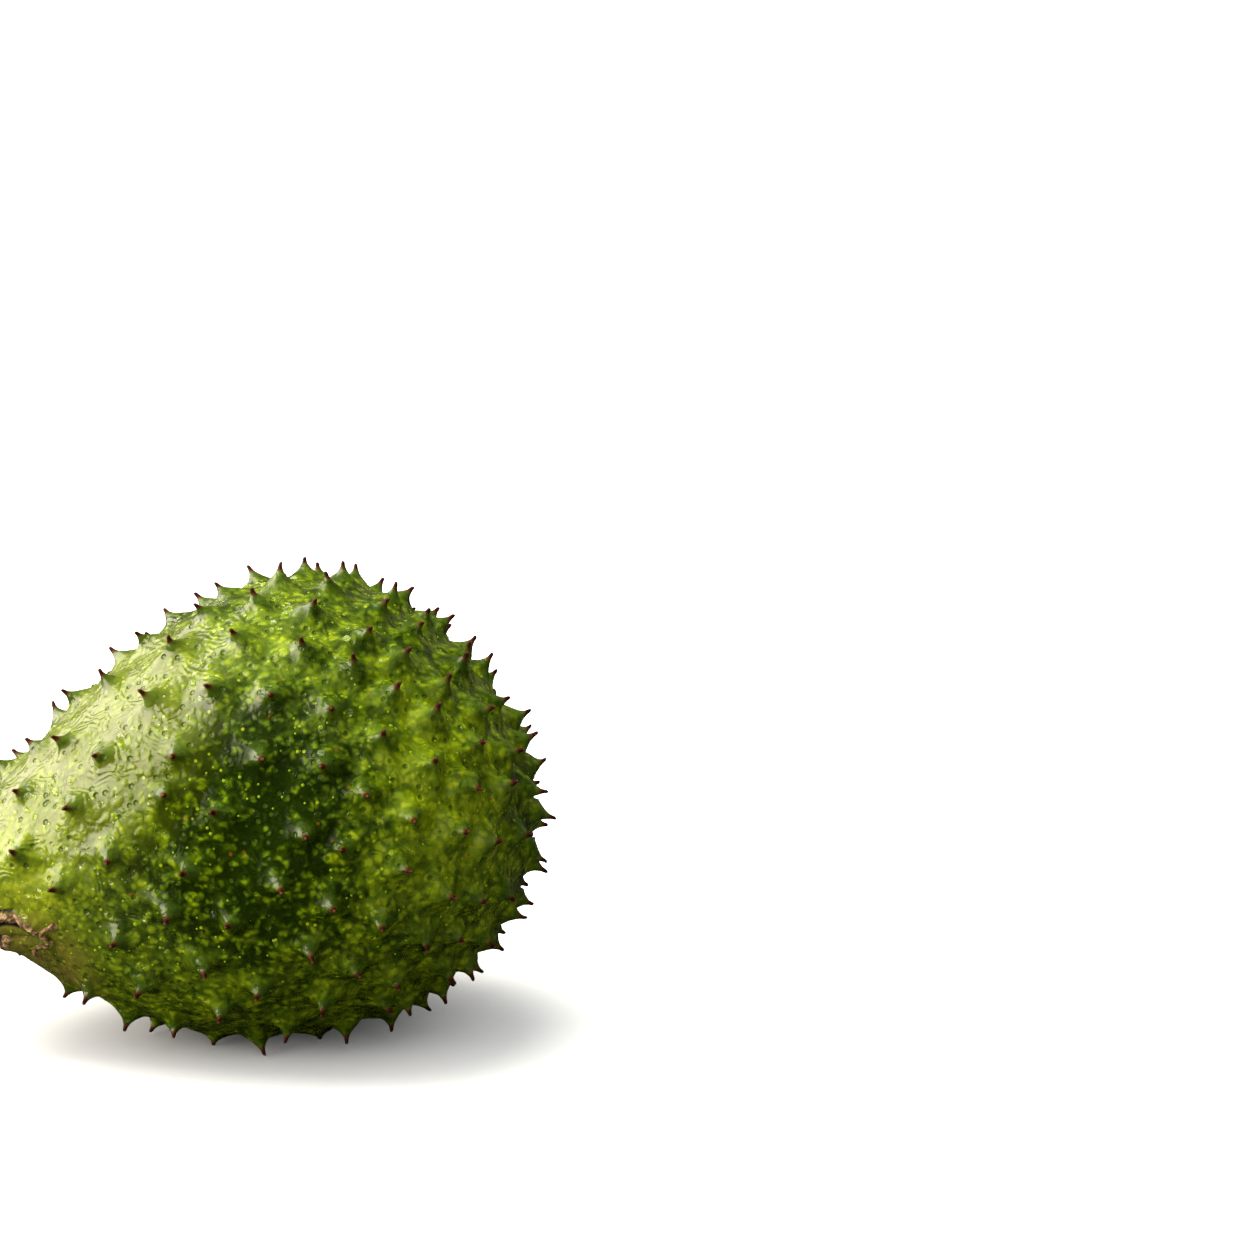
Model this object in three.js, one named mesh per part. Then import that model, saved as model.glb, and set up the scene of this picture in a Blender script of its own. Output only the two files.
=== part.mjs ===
// A whole soursop lying on its belly, and the stub of its stalk.
// Millimetres, +Z up. The stem end points to -X and the blossom end to +X.
// The origin is the middle of the flat spot that the fruit rests on.
import * as THREE from "three";
import { ConvexHull } from "three/addons/math/ConvexHull.js";

// The body: an egg about its own long axis, fatter toward the blossom end.
const HALF_LENGTH = 96;
const HALF_WIDTH = 72.4;
const HALF_HEIGHT = 71;
const TAPER = 0.33;
const BLUNTNESS = -0.02;
const AXIS_TILT = THREE.MathUtils.degToRad(9);
const BODY_CENTRE = new THREE.Vector3(-12, 0, 70.4);
const CORNER_LUMP = 0.6;
const BROAD_LUMP = 1.4;
const NARROW_LUMP = 1.4;

// The soft spines: one on each carpel, closer together toward the blossom end.
const SPINE_HEIGHT = 6.9;
const SPINE_HEIGHT_SPREAD = 0.16;
const SPINE_LEAN = 0.24;
const SPINE_TIP = 0.9;
const SPINE_TIP_SHARE = 0.3;
const SPINE_SKIRT = 3.9;
const SKIRT_POWER = 1.3;
const SPINE_REACH = 9.5;
const SPACING_AT_STEM = 23.2;
const SPACING_AT_BLOSSOM = 17.4;
const SPACING_SPREAD = 0.24;
const VALLEY_AT_STEM = 0.5;
const VALLEY_AT_BLOSSOM = 1.2;
const SPINE_RINGS = [0.8, 2.3, 4.6];
const SPINE_SIDES = 7;
const LONG_BORDER = 11;
const GOLDEN_ANGLE = Math.PI * (3 - Math.sqrt(5));
const SEED = 8;

// The flat spot under the body.
const FLAT_RADIUS = 10.5;
const FLAT_CLEAR = 23;
const FLAT_SIDES = 12;

// The sunken end where the stalk grows in, with its corky rim and the crease that runs out of it.
const STEM_WAY = new THREE.Vector3(-0.935, -0.25, -0.26).normalize();
const STEM_CLEAR = 26;
const PIT_DEPTH = 5;
const PIT_FLOOR = 5.8;
const PIT_MOUTH = 9.4;
const RIM_RADIUS = 10.8;
const RIM_HEIGHT = 1.2;
const PIT_RINGS = [5.8, 7.8, 9.4, 11];
const PIT_SIDES = 16;
const CREASE_TOWARD = new THREE.Vector3(-0.703, -0.621, -0.346).normalize();
const CREASE_DEPTH = 1.8;
const CREASE_WIDTH = 1.7;
const CREASE_LENGTH = 32;
const CREASE_BEHIND = -25;

// The stalk: woody, a little thicker where it joins the fruit, snapped off short.
const STALK_RADIUS = 4.6;
const STALK_NECK = 3.7;
const STALK_LENGTH = 16;
const STALK_SIDES = 12;
const JOINT_GAP = 0.3;

// A repeatable draw between -1 and 1 for the given spine and use.
function draw(index, use) {
  const s = Math.sin(index * 12.9898 + use * 78.233 + SEED) * 43758.5453;
  return 2 * (s - Math.floor(s)) - 1;
}

function smooth(from, to, x) {
  const t = Math.min(Math.max((x - from) / (to - from), 0), 1);
  return t * t * (3 - 2 * t);
}

// How wide the egg is at u, from -1 at the stem end to 1 at the blossom end.
function girth(u) {
  return 1 + TAPER * u + BLUNTNESS * u * u;
}

function girthSlope(u) {
  return TAPER + 2 * BLUNTNESS * u;
}

// The bare egg in its own frame, for a unit vector.
function egg(way) {
  const g = girth(way.x);
  return new THREE.Vector3(HALF_LENGTH * way.x, HALF_WIDTH * g * way.y, HALF_HEIGHT * g * way.z);
}

// The unit vector whose place on the egg is nearest to a point in the egg's frame.
function wayOf(point) {
  const u = THREE.MathUtils.clamp(point.x / HALF_LENGTH, -1, 1);
  const g = girth(u);
  return new THREE.Vector3(u, point.y / (HALF_WIDTH * g), point.z / (HALF_HEIGHT * g)).normalize();
}

function eggNormal(way) {
  const g = girth(way.x);
  const p = egg(way);
  const round = (p.y / HALF_WIDTH) ** 2 + (p.z / HALF_HEIGHT) ** 2;
  return new THREE.Vector3(
    p.x / HALF_LENGTH ** 2 - (round * girthSlope(way.x)) / (g ** 3 * HALF_LENGTH),
    p.y / (HALF_WIDTH * g) ** 2,
    p.z / (HALF_HEIGHT * g) ** 2,
  ).normalize();
}

// The slow swellings of a fruit that grew on one side more than the other.
function lump(way) {
  const corners = CORNER_LUMP * (0.45 - 8 * way.x ** 2 * way.z ** 2);
  const broad = BROAD_LUMP * Math.sin(3.1 * way.x - 1.2 * way.y + 2.3 * way.z + 4.99);
  const narrow = NARROW_LUMP * Math.sin(-2.9 * way.x + 1.7 * way.y + 4.3 * way.z + 5.05);
  return corners + broad + narrow;
}

function skin(way) {
  return egg(way).addScaledVector(eggNormal(way), lump(way));
}

// From the egg's own frame to the part's: the stem end drops, and the belly reaches the floor.
function lay(point) {
  return point.applyAxisAngle(new THREE.Vector3(0, 1, 0), -AXIS_TILT).add(BODY_CENTRE);
}

function unlay(point) {
  return point.sub(BODY_CENTRE).applyAxisAngle(new THREE.Vector3(0, 1, 0), AXIS_TILT);
}

// How the skin runs at a place when the unit vector takes a small step aside.
function slope(way, aside) {
  const ahead = skin(way.clone().addScaledVector(aside, 1e-3).normalize());
  return ahead.sub(skin(way.clone().addScaledVector(aside, -1e-3).normalize()));
}

// The direction out of the skin and two along it: the first runs toward the blossom end.
function tangents(way) {
  const aside = new THREE.Vector3(0, way.z, -way.y).normalize();
  const out = slope(way, new THREE.Vector3().crossVectors(aside, way)).cross(slope(way, aside));
  out.normalize();
  const along = new THREE.Vector3(1, 0, 0).addScaledVector(out, -out.x).normalize();
  return { out, along, across: new THREE.Vector3().crossVectors(out, along) };
}

function spacing(u) {
  return THREE.MathUtils.lerp(SPACING_AT_STEM, SPACING_AT_BLOSSOM, smooth(-0.15, 0.55, u));
}

// How far the skin sinks between the carpels.
function valley(u) {
  return THREE.MathUtils.lerp(VALLEY_AT_STEM, VALLEY_AT_BLOSSOM, smooth(-0.3, 0.5, u));
}

// The area of skin in a band of the egg one unit of u wide.
function bandArea(u) {
  const g = girth(u);
  const r = (HALF_WIDTH + HALF_HEIGHT) / 2;
  const radius = r * g * Math.sqrt(1 - u * u);
  const slope = r * r * g * (girthSlope(u) * (1 - u * u) - g * u);
  return 2 * Math.PI * Math.hypot(HALF_LENGTH * radius, slope);
}

const stem = { kind: "stem", way: STEM_WAY };
const flat = { kind: "flat", way: wayOf(unlay(new THREE.Vector3(0, 0, 0))) };

// No spine grows in the pit, on the crease or where the fruit is pressed flat.
function isClear(way) {
  const place = skin(way);
  const fromStem = place.distanceTo(skin(stem.way));
  const fromFlat = place.distanceTo(skin(flat.way));
  return fromStem > STEM_CLEAR && fromFlat > FLAT_CLEAR && crease(place) < 0.1;
}

// Spines wind round the long axis by the golden angle, each with its own patch of skin.
function spineSites() {
  const sites = [];
  let u = -0.995;
  for (let k = 0; u < 0.999; k += 1) {
    const wide = Math.sqrt(1 - u * u);
    const turn = k * GOLDEN_ANGLE;
    const stray = (SPACING_SPREAD * spacing(u)) / (2 * HALF_HEIGHT);
    const way = new THREE.Vector3(
      u + stray * draw(k, 1),
      wide * Math.cos(turn) + stray * draw(k, 2),
      wide * Math.sin(turn) + stray * draw(k, 3),
    ).normalize();
    if (isClear(way)) sites.push({ kind: "spine", way, index: k });
    u += (Math.sqrt(0.75) * spacing(u) ** 2) / bandArea(u);
  }
  return sites;
}

// How far a spine stands out of the skin at a distance from its middle, as a share of its height.
function flare(distance) {
  if (distance >= SPINE_REACH) return 0;
  const tip = Math.exp(-((distance / SPINE_TIP) ** 4));
  const skirt = Math.exp(-((distance / SPINE_SKIRT) ** SKIRT_POWER));
  const height = SPINE_TIP_SHARE * tip + (1 - SPINE_TIP_SHARE) * skirt;
  return height * (1 - (distance / SPINE_REACH) ** 2) ** 2;
}

// Which way a spine points and how high it stands. Under the fruit it is pressed down to the floor.
function growSpine(site) {
  const { out, along, across } = tangents(site.way);
  site.point = out
    .clone()
    .addScaledVector(along, SPINE_LEAN * draw(site.index, 4))
    .addScaledVector(across, SPINE_LEAN * draw(site.index, 5))
    .normalize();
  site.height = SPINE_HEIGHT * (1 + SPINE_HEIGHT_SPREAD * draw(site.index, 6));
  const root = lay(skin(site.way)).z;
  const drop = root - lay(skin(site.way).add(site.point)).z;
  if (drop > 0) site.height = Math.min(site.height, root / drop);
}

// The crease is deepest at the rim and dies out along a line toward the belly. The far side of the
// fruit, which lies well behind that line, has none.
function crease(place) {
  const start = skin(stem.way);
  const line = skin(CREASE_TOWARD).sub(start).normalize();
  const from = place.clone().sub(start);
  const outward = eggNormal(CREASE_TOWARD);
  if (from.dot(outward) < CREASE_BEHIND) {
    return 0;
  }
  const run = from.dot(line);
  const aside = from.addScaledVector(line, -run).projectOnPlane(outward).length();
  const fade = smooth(2, RIM_RADIUS, run) * (1 - smooth(0.7 * CREASE_LENGTH, CREASE_LENGTH, run));
  return CREASE_DEPTH * fade * Math.exp(-((aside / CREASE_WIDTH) ** 2));
}

function pitRise(distance) {
  const rim = RIM_HEIGHT * Math.exp(-(((distance - RIM_RADIUS) / 2.4) ** 2));
  return rim - PIT_DEPTH * (1 - smooth(PIT_FLOOR, PIT_MOUTH, distance));
}

// The place on the skin that lies a given distance and angle round a site, seen from above it.
function roundSite(site, radius, angle) {
  const { out, along, across } = tangents(site.way);
  const target = skin(site.way)
    .addScaledVector(along, radius * Math.cos(angle))
    .addScaledVector(across, radius * Math.sin(angle));
  const aim = target.clone();
  for (let k = 0; k < 3; k += 1) {
    aim.add(target.clone().sub(skin(wayOf(aim))).projectOnPlane(out));
  }
  return skin(wayOf(aim));
}

// A ring of corners round a site, raised or sunk by what grows there.
function ring(site, radius, sides, rise) {
  const corners = [];
  for (let k = 0; k < sides; k += 1) {
    const angle = -Math.PI + (2 * Math.PI * (k + 0.5)) / sides;
    corners.push({ angle, place: rise(roundSite(site, radius, angle)) });
  }
  return corners;
}

function spineRings(site) {
  growSpine(site);
  const rise = (radius) => (place) =>
    place.addScaledVector(site.point, site.height * flare(radius) - crease(place));
  return {
    top: rise(0)(skin(site.way)),
    rings: SPINE_RINGS.map((radius) => ring(site, radius, SPINE_SIDES, rise(radius))),
  };
}

// The pit's floor is one flat disc, square to the stalk.
function stemRings(site) {
  const { out } = tangents(site.way);
  const middle = skin(site.way).addScaledVector(out, -PIT_DEPTH);
  const rings = PIT_RINGS.map((radius) =>
    ring(site, radius, PIT_SIDES, (place) => {
      const drop = out.dot(middle.clone().sub(place));
      return place.addScaledVector(out, radius > PIT_FLOOR ? pitRise(radius) - crease(place) : drop);
    }),
  );
  return { top: middle, rings };
}

function flatRings(site) {
  const corners = ring(site, FLAT_RADIUS, FLAT_SIDES, (place) => {
    const laid = lay(place);
    laid.z = 0;
    return unlay(laid);
  });
  return { top: unlay(new THREE.Vector3(0, 0, 0)), rings: [corners] };
}

const GROWTH = { spine: spineRings, stem: stemRings, flat: flatRings };

// Adds a corner in the valley between carpels.
function valleyCorner(corners, way) {
  const place = skin(way);
  place.addScaledVector(eggNormal(way), -valley(way.x) - crease(place));
  return { way, place, index: corners.push(place) - 1 };
}

// The corners where three patches of skin meet: the middles of the empty circles between sites.
function patchCorners(sites) {
  const hull = new ConvexHull().setFromPoints(sites.map((site) => site.way));
  const owner = new Map(sites.map((site) => [site.way, site]));
  for (const site of sites) site.border = [];
  const corners = [];
  for (const face of hull.faces) {
    const corner = valleyCorner(corners, face.normal.clone().normalize());
    for (let k = 0; k < 3; k += 1) {
      owner.get(face.getEdge(k).head().point).border.push({ ...corner });
    }
  }
  return corners;
}

function sortBorder(site) {
  const { along, across } = tangents(site.way);
  const middle = skin(site.way);
  for (const corner of site.border) {
    const from = corner.place.clone().sub(middle);
    corner.angle = Math.atan2(from.dot(across), from.dot(along));
  }
  site.border.sort((a, b) => a.angle - b.angle);
}

// A long border gets one more corner in its middle, which the two patches share.
function splitBorder(site, corners, middles) {
  const whole = site.border;
  site.border = whole.flatMap((corner, k) => {
    const next = whole[(k + 1) % whole.length];
    if (corner.place.distanceTo(next.place) < LONG_BORDER) return [corner];
    const key = [corner.index, next.index].sort((a, b) => a - b).join();
    const way = corner.way.clone().add(next.way).normalize();
    if (!middles.has(key)) middles.set(key, valleyCorner(corners, way));
    return [corner, { ...middles.get(key) }];
  });
}

// Joins two rings round one middle with a band of triangles.
function band(inner, outer, faces) {
  const n = inner.length;
  const m = outer.length;
  const turn = (corners, k) =>
    corners[k % corners.length].angle + 2 * Math.PI * Math.floor(k / corners.length);
  let i = 0;
  let j = 0;
  while (i < n || j < m) {
    const stepIn = j >= m || (i < n && turn(inner, i + 1) < turn(outer, j + 1));
    if (stepIn) {
      faces.push(inner[i].index, outer[j % m].index, inner[(i + 1) % n].index);
      i += 1;
    } else {
      faces.push(inner[i % n].index, outer[j].index, outer[(j + 1) % m].index);
      j += 1;
    }
  }
}

function fan(top, corners, faces) {
  corners.forEach((corner, k) => {
    faces.push(top, corner.index, corners[(k + 1) % corners.length].index);
  });
}

// The fruit is one closed skin, built patch by patch.
function fruitGeometry() {
  const sites = [stem, flat, ...spineSites()];
  const corners = patchCorners(sites);
  const middles = new Map();
  const faces = [];
  for (const site of sites) {
    sortBorder(site);
    splitBorder(site, corners, middles);
    sortBorder(site);
    const { top, rings } = GROWTH[site.kind](site);
    const topIndex = corners.push(top) - 1;
    for (const corner of rings.flat()) corner.index = corners.push(corner.place) - 1;
    fan(topIndex, rings[0], faces);
    [...rings, site.border].reduce((inner, outer) => {
      band(inner, outer, faces);
      return outer;
    });
  }
  const positions = corners.flatMap((corner) => {
    const laid = lay(corner);
    return [laid.x, laid.y, Math.max(laid.z, 0)];
  });
  const geometry = new THREE.BufferGeometry();
  geometry.setAttribute("position", new THREE.Float32BufferAttribute(positions, 3));
  geometry.setIndex(faces);
  geometry.computeVertexNormals();
  return geometry;
}

// Turned on its own axis, then roughened with shallow ribs.
function stalkGeometry() {
  const profile = [
    [0, 0],
    [STALK_RADIUS - 0.3, 0],
    [STALK_RADIUS, 0.8],
    [STALK_RADIUS - 0.2, 4],
    [STALK_NECK, 8],
    [STALK_NECK, 11],
    [STALK_NECK + 0.7, STALK_LENGTH - 1.4],
    [STALK_NECK + 0.3, STALK_LENGTH - 0.3],
    [0, STALK_LENGTH],
  ].map(([x, y]) => new THREE.Vector2(x, y));
  const geometry = new THREE.LatheGeometry(profile, STALK_SIDES);
  const at = geometry.getAttribute("position");
  for (let k = 0; k < at.count; k += 1) {
    const angle = Math.atan2(at.getZ(k), at.getX(k));
    const rib = 1 + 0.05 * Math.sin(3 * angle + 0.12 * at.getY(k)) * smooth(0, 3, at.getY(k));
    at.setX(k, at.getX(k) * rib);
    at.setZ(k, at.getZ(k) * rib);
  }
  geometry.computeVertexNormals();
  return geometry;
}

function placeStalk(mesh) {
  const { out } = tangents(STEM_WAY);
  const foot = skin(STEM_WAY).addScaledVector(out, JOINT_GAP - PIT_DEPTH);
  const end = lay(foot.clone().add(out));
  mesh.position.copy(lay(foot));
  const way = end.sub(mesh.position).normalize();
  mesh.quaternion.setFromUnitVectors(new THREE.Vector3(0, 1, 0), way);
}

const fruit = new THREE.Mesh(
  fruitGeometry(),
  new THREE.MeshStandardMaterial({ color: "#68791c", roughness: 0.42, metalness: 0 }),
);
fruit.name = "fruit";

const stalk = new THREE.Mesh(
  stalkGeometry(),
  new THREE.MeshStandardMaterial({ color: "#7b5c3b", roughness: 0.8, metalness: 0 }),
);
stalk.name = "stalk";
placeStalk(stalk);

const soursop = new THREE.Group();
soursop.name = "soursop";
soursop.add(fruit, stalk);

export default soursop;
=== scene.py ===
import math
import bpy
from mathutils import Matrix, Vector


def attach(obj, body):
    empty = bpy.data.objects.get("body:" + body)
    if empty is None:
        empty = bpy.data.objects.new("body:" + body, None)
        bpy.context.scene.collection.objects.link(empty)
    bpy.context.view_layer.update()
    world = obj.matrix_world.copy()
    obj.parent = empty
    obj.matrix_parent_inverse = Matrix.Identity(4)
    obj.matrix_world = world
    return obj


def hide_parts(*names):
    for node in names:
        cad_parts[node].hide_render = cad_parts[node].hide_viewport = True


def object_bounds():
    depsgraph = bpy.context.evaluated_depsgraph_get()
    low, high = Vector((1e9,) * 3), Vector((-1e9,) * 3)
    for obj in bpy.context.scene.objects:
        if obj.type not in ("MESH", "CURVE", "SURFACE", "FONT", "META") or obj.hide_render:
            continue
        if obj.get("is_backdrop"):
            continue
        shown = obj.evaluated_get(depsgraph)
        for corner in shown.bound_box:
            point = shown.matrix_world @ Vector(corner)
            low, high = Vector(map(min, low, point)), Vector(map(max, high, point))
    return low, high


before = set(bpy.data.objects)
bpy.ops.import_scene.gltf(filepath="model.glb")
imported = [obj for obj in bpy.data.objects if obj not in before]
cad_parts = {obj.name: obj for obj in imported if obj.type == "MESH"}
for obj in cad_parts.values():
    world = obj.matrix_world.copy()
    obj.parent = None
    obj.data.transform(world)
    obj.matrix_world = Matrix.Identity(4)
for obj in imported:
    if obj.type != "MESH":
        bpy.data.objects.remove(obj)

from types import SimpleNamespace

import bmesh
import bpy
import numpy as np
from mathutils import Matrix, Vector, noise
from mathutils.bvhtree import BVHTree

# A whole soursop lying on its belly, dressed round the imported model.
# The body's shape is worked out in millimetres in the egg's own frame, as in the part's source,
# and becomes metres in the row frame when a mesh is made.

MM = 0.001
CAD_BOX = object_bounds()

# The body, the spines, the flat spot and the stem end: the same dimensions as the solids.
HALF_LENGTH, HALF_WIDTH, HALF_HEIGHT = 96, 72.4, 71
TAPER, BLUNTNESS = 0.33, -0.02
AXIS_TILT = math.radians(9)
BODY_CENTRE = np.array([-12, 0, 70.4])
CORNER_LUMP, BROAD_LUMP, NARROW_LUMP = 0.6, 1.4, 1.4
SPINE_HEIGHT, SPINE_HEIGHT_SPREAD, SPINE_LEAN = 6.9, 0.16, 0.24
SPACING_AT_STEM, SPACING_AT_BLOSSOM, SPACING_SPREAD = 23.2, 17.4, 0.24
VALLEY_AT_STEM, VALLEY_AT_BLOSSOM = 0.5, 1.2
GOLDEN_ANGLE = math.pi * (3 - math.sqrt(5))
SEED = 8
FLAT_RADIUS, FLAT_CLEAR = 10.5, 23
STEM_WAY = np.array([-0.935, -0.25, -0.26])
STEM_WAY = STEM_WAY / np.linalg.norm(STEM_WAY)
STEM_CLEAR = 26
PIT_DEPTH, PIT_FLOOR, PIT_MOUTH = 5, 5.8, 9.4
RIM_RADIUS, RIM_HEIGHT, RIM_WIDTH = 10.8, 1.2, 2.4
CREASE_TOWARD = np.array([-0.703, -0.621, -0.346])
CREASE_TOWARD = CREASE_TOWARD / np.linalg.norm(CREASE_TOWARD)
CREASE_DEPTH, CREASE_WIDTH, CREASE_LENGTH = 1.8, 1.7, 32
CREASE_BEHIND = -25
STALK_RADIUS, STALK_NECK, STALK_LENGTH, JOINT_GAP = 4.6, 3.7, 16, 0.3

# The broad and the narrow lumps' waves: how fast they run along, across and up, and their phase.
BROAD_WAVE, NARROW_WAVE = (3.1, -1.2, 2.3, 4.99), (-2.9, 1.7, 4.3, 5.05)

# A spine's outline: how far out from its middle it reaches at each share of its height.
SPINE_PROFILE = [
    (0.34, 0.985), (0.56, 0.945), (0.66, 0.88), (0.72, 0.81), (0.82, 0.735), (1.02, 0.66),
    (1.34, 0.575), (1.76, 0.485), (2.26, 0.395), (2.88, 0.305), (3.60, 0.225),
]
# Its foot: the radius, the share of its height there, and the most of its patch that it takes.
SPINE_FOOT, FOOT_SHARE, FOOT_MOST = 4.4, 0.155, 0.62
SPINE_SIDES = 14
TIP_HOOK, TIP_HOOK_SPREAD, TIP_HOOK_TURN = 0.5, 0.6, 0.9
# How far a spine's skirt runs out: away from its lean, uphill, and in ridges and smaller ones.
SKIRT_AWAY, SKIRT_UPHILL, SKIRT_SMALL_RIDGE = 0.2, 0.26, 0.06
SKIRT_RIDGE, SKIRT_RIDGE_SPREAD = 0.12, 0.07
# The keels that run down from a spine: each rises slowly round the spine and drops off sharply.
KEEL_HEIGHT, KEEL_HEIGHT_SPREAD, KEEL_TEETH, KEEL_CREST, KEEL_CURL = 0.6, 0.45, 3, 0.74, 0.075

# The mesh: the length of a border's segments near the stem end and elsewhere, and the rings from a
# foot, the pit's rim or the flat spot out to the border, over the pit and on the flat spot.
FINE_SEGMENT, SEGMENT, FINE_REACH = 1.1, 1.85, 40
FINE_SKIRT_RINGS, SKIRT_RINGS, STEM_RINGS, FLAT_RINGS = 9, 5, 9, 7
PIT_RADII = [1.6, 3.2, 4.6, 5.8, 6.4, 7, 7.6, 8.2, 8.8, 9.4, 10, 10.6, 11.2, 11.8, 12.6, 13.4, 14.4]
RIM_END = PIT_RADII[-1]
FLAT_RADII = (3.5, 7.0, FLAT_RADIUS)
# A patch's usual radius, of which a spoke's length is a share.
PATCH_RADIUS = 9

# The corky ridge on the upper side of the crease, and the cracks along both sides of it, darkened
# with painted shade.
ROPE_ASIDE, ROPE_WIDTH, ROPE_HEIGHT = 7.6, 1.5, 1.9
ROPE_START, ROPE_BEND, ROPE_LENGTH = 4, 17, 30
CRACK_WIDTH, CRACK_ASIDE, CRACK_DEPTH = 1.1, 2.5, 0.8

# The water drops: how many are tried, their radius, and their outline as shares of it.
DROP_TRIES, DROP_RADIUS, DROP_RADIUS_SPREAD = 4200, 0.40, 1.05
DROP_PROFILE = [(1.0, -0.12), (1.0, 0.12), (0.84, 0.39), (0.46, 0.59)]
DROP_TOP, DROP_BOTTOM, DROP_SIDES = 0.65, -0.2, 8
# Where they cling: above a height, in wet areas, off the cork, where the skin faces as the body
# does and only this far up a spine, looked for from far enough out. Large drops are never lime.
DROP_LOWEST, WET_AREA, WET_FROM, CORK_MOST = 34, 34.0, -0.2, 0.05
DROP_FACING, DROP_CLIMB, DROP_SEARCH = 0.86, 1.6, 14
LIME_DROP = 0.72

# The withered spine which hangs over the crease: its middle line, laid, and its radius along it.
WITHERED = [
    (-74.8, -33.6, 50.6), (-77.6, -35.8, 49.0), (-80.2, -35.0, 47.6), (-81.4, -33.6, 45.6),
    (-79.4, -32.6, 43.6), (-79.2, -31.2, 41.4), (-82.2, -29.0, 40.2), (-83.0, -26.6, 37.6),
    (-81.0, -25.0, 36.0), (-79.8, -22.8, 33.8),
]
WITHERED_RADIUS = [1.3, 1.2, 0.75, 0.65, 0.85, 0.6, 0.75, 0.6, 0.45, 0.2]
WITHERED_STEPS, WITHERED_SIDES = 6, 12

# The stalk's outline: its radius at heights from its foot, and the rings of its foot and its end.
STALK_PROFILE = [
    (0, STALK_RADIUS - 0.3), (0.8, STALK_RADIUS), (4, STALK_RADIUS - 0.2), (8, STALK_NECK),
    (11, STALK_NECK), (STALK_LENGTH - 1.4, STALK_NECK + 0.7),
    (STALK_LENGTH - 0.3, STALK_NECK + 0.3),
]
STALK_SIDES, STALK_ROWS = 56, 48
STALK_FOOT_SHARES, STALK_END_SHARES = (0.45, 0.8), (0.93, 0.8, 0.6, 0.4, 0.2)


# ---------------- the body's shape

def unit(v):
    return v / np.linalg.norm(v, axis=-1, keepdims=True)


def draw(index, use):
    """A repeatable draw between -1 and 1 for the given spine and use."""
    s = math.sin(index * 12.9898 + use * 78.233 + SEED) * 43758.5453
    return 2 * (s - math.floor(s)) - 1


def smooth(start, end, x):
    t = np.clip((x - start) / (end - start), 0, 1)
    return t * t * (3 - 2 * t)


def ripple(place, size, seed=0.0):
    """Smooth noise from about -1 to 1, with features of a size in millimetres, at some places."""
    flat = np.asarray(place, float).reshape(-1, 3) / size + seed
    values = [noise.noise(Vector(p)) for p in flat]
    return np.array(values).reshape(np.asarray(place).shape[:-1])


def girth(u):
    return 1 + TAPER * u + BLUNTNESS * u * u


def girth_slope(u):
    return TAPER + 2 * BLUNTNESS * u


def egg(way):
    g = girth(way[..., 0])
    sides = [HALF_LENGTH * way[..., 0], HALF_WIDTH * g * way[..., 1], HALF_HEIGHT * g * way[..., 2]]
    return np.stack(sides, -1)


def way_of(point):
    u = np.clip(point[..., 0] / HALF_LENGTH, -1, 1)
    g = girth(u)
    sides = [u, point[..., 1] / (HALF_WIDTH * g), point[..., 2] / (HALF_HEIGHT * g)]
    return unit(np.stack(sides, -1))


def egg_normal(way):
    g = girth(way[..., 0])
    p = egg(way)
    around = (p[..., 1] / HALF_WIDTH) ** 2 + (p[..., 2] / HALF_HEIGHT) ** 2
    ahead = p[..., 0] / HALF_LENGTH**2 - around * girth_slope(way[..., 0]) / (g**3 * HALF_LENGTH)
    sides = [ahead, p[..., 1] / (HALF_WIDTH * g) ** 2, p[..., 2] / (HALF_HEIGHT * g) ** 2]
    return unit(np.stack(sides, -1))


def wave(way, along, across, up, phase):
    return np.sin(along * way[..., 0] + across * way[..., 1] + up * way[..., 2] + phase)


def lump(way):
    corners = CORNER_LUMP * (0.45 - 8 * way[..., 0] ** 2 * way[..., 2] ** 2)
    return corners + BROAD_LUMP * wave(way, *BROAD_WAVE) + NARROW_LUMP * wave(way, *NARROW_WAVE)


def skin(way):
    return egg(way) + egg_normal(way) * lump(way)[..., None]


def raised(way, rise):
    return skin(way) + egg_normal(way) * rise[..., None]


def turned(point, angle):
    c, s = math.cos(angle), math.sin(angle)
    x, y, z = point[..., 0], point[..., 1], point[..., 2]
    return np.stack([c * x + s * z, y, c * z - s * x], -1)


def lay(point):
    """From the egg's own frame to the fruit as it lies on the floor."""
    return turned(point, -AXIS_TILT) + BODY_CENTRE


def unlay(point):
    return turned(point - BODY_CENTRE, AXIS_TILT)


def slope(way, aside):
    return skin(unit(way + 1e-3 * aside)) - skin(unit(way - 1e-3 * aside))


def tangents(way):
    """The direction out of the skin and two along it: the first runs toward the blossom end."""
    aside = unit(np.array([0, way[2], -way[1]]))
    out = unit(np.cross(slope(way, np.cross(aside, way)), slope(way, aside)))
    along = unit(np.array([1, 0, 0]) - out * out[0])
    return out, along, np.cross(out, along)


def spacing(u):
    return SPACING_AT_STEM + (SPACING_AT_BLOSSOM - SPACING_AT_STEM) * smooth(-0.15, 0.55, u)


def valley(u):
    return VALLEY_AT_STEM + (VALLEY_AT_BLOSSOM - VALLEY_AT_STEM) * smooth(-0.3, 0.5, u)


def band_area(u):
    """The skin's area in a band round the long axis, for each unit of the band's width in u."""
    g = girth(u)
    r = (HALF_WIDTH + HALF_HEIGHT) / 2
    radius = r * g * math.sqrt(1 - u * u)
    fall = r * r * g * (girth_slope(u) * (1 - u * u) - g * u)
    return 2 * math.pi * math.hypot(HALF_LENGTH * radius, fall)


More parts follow.
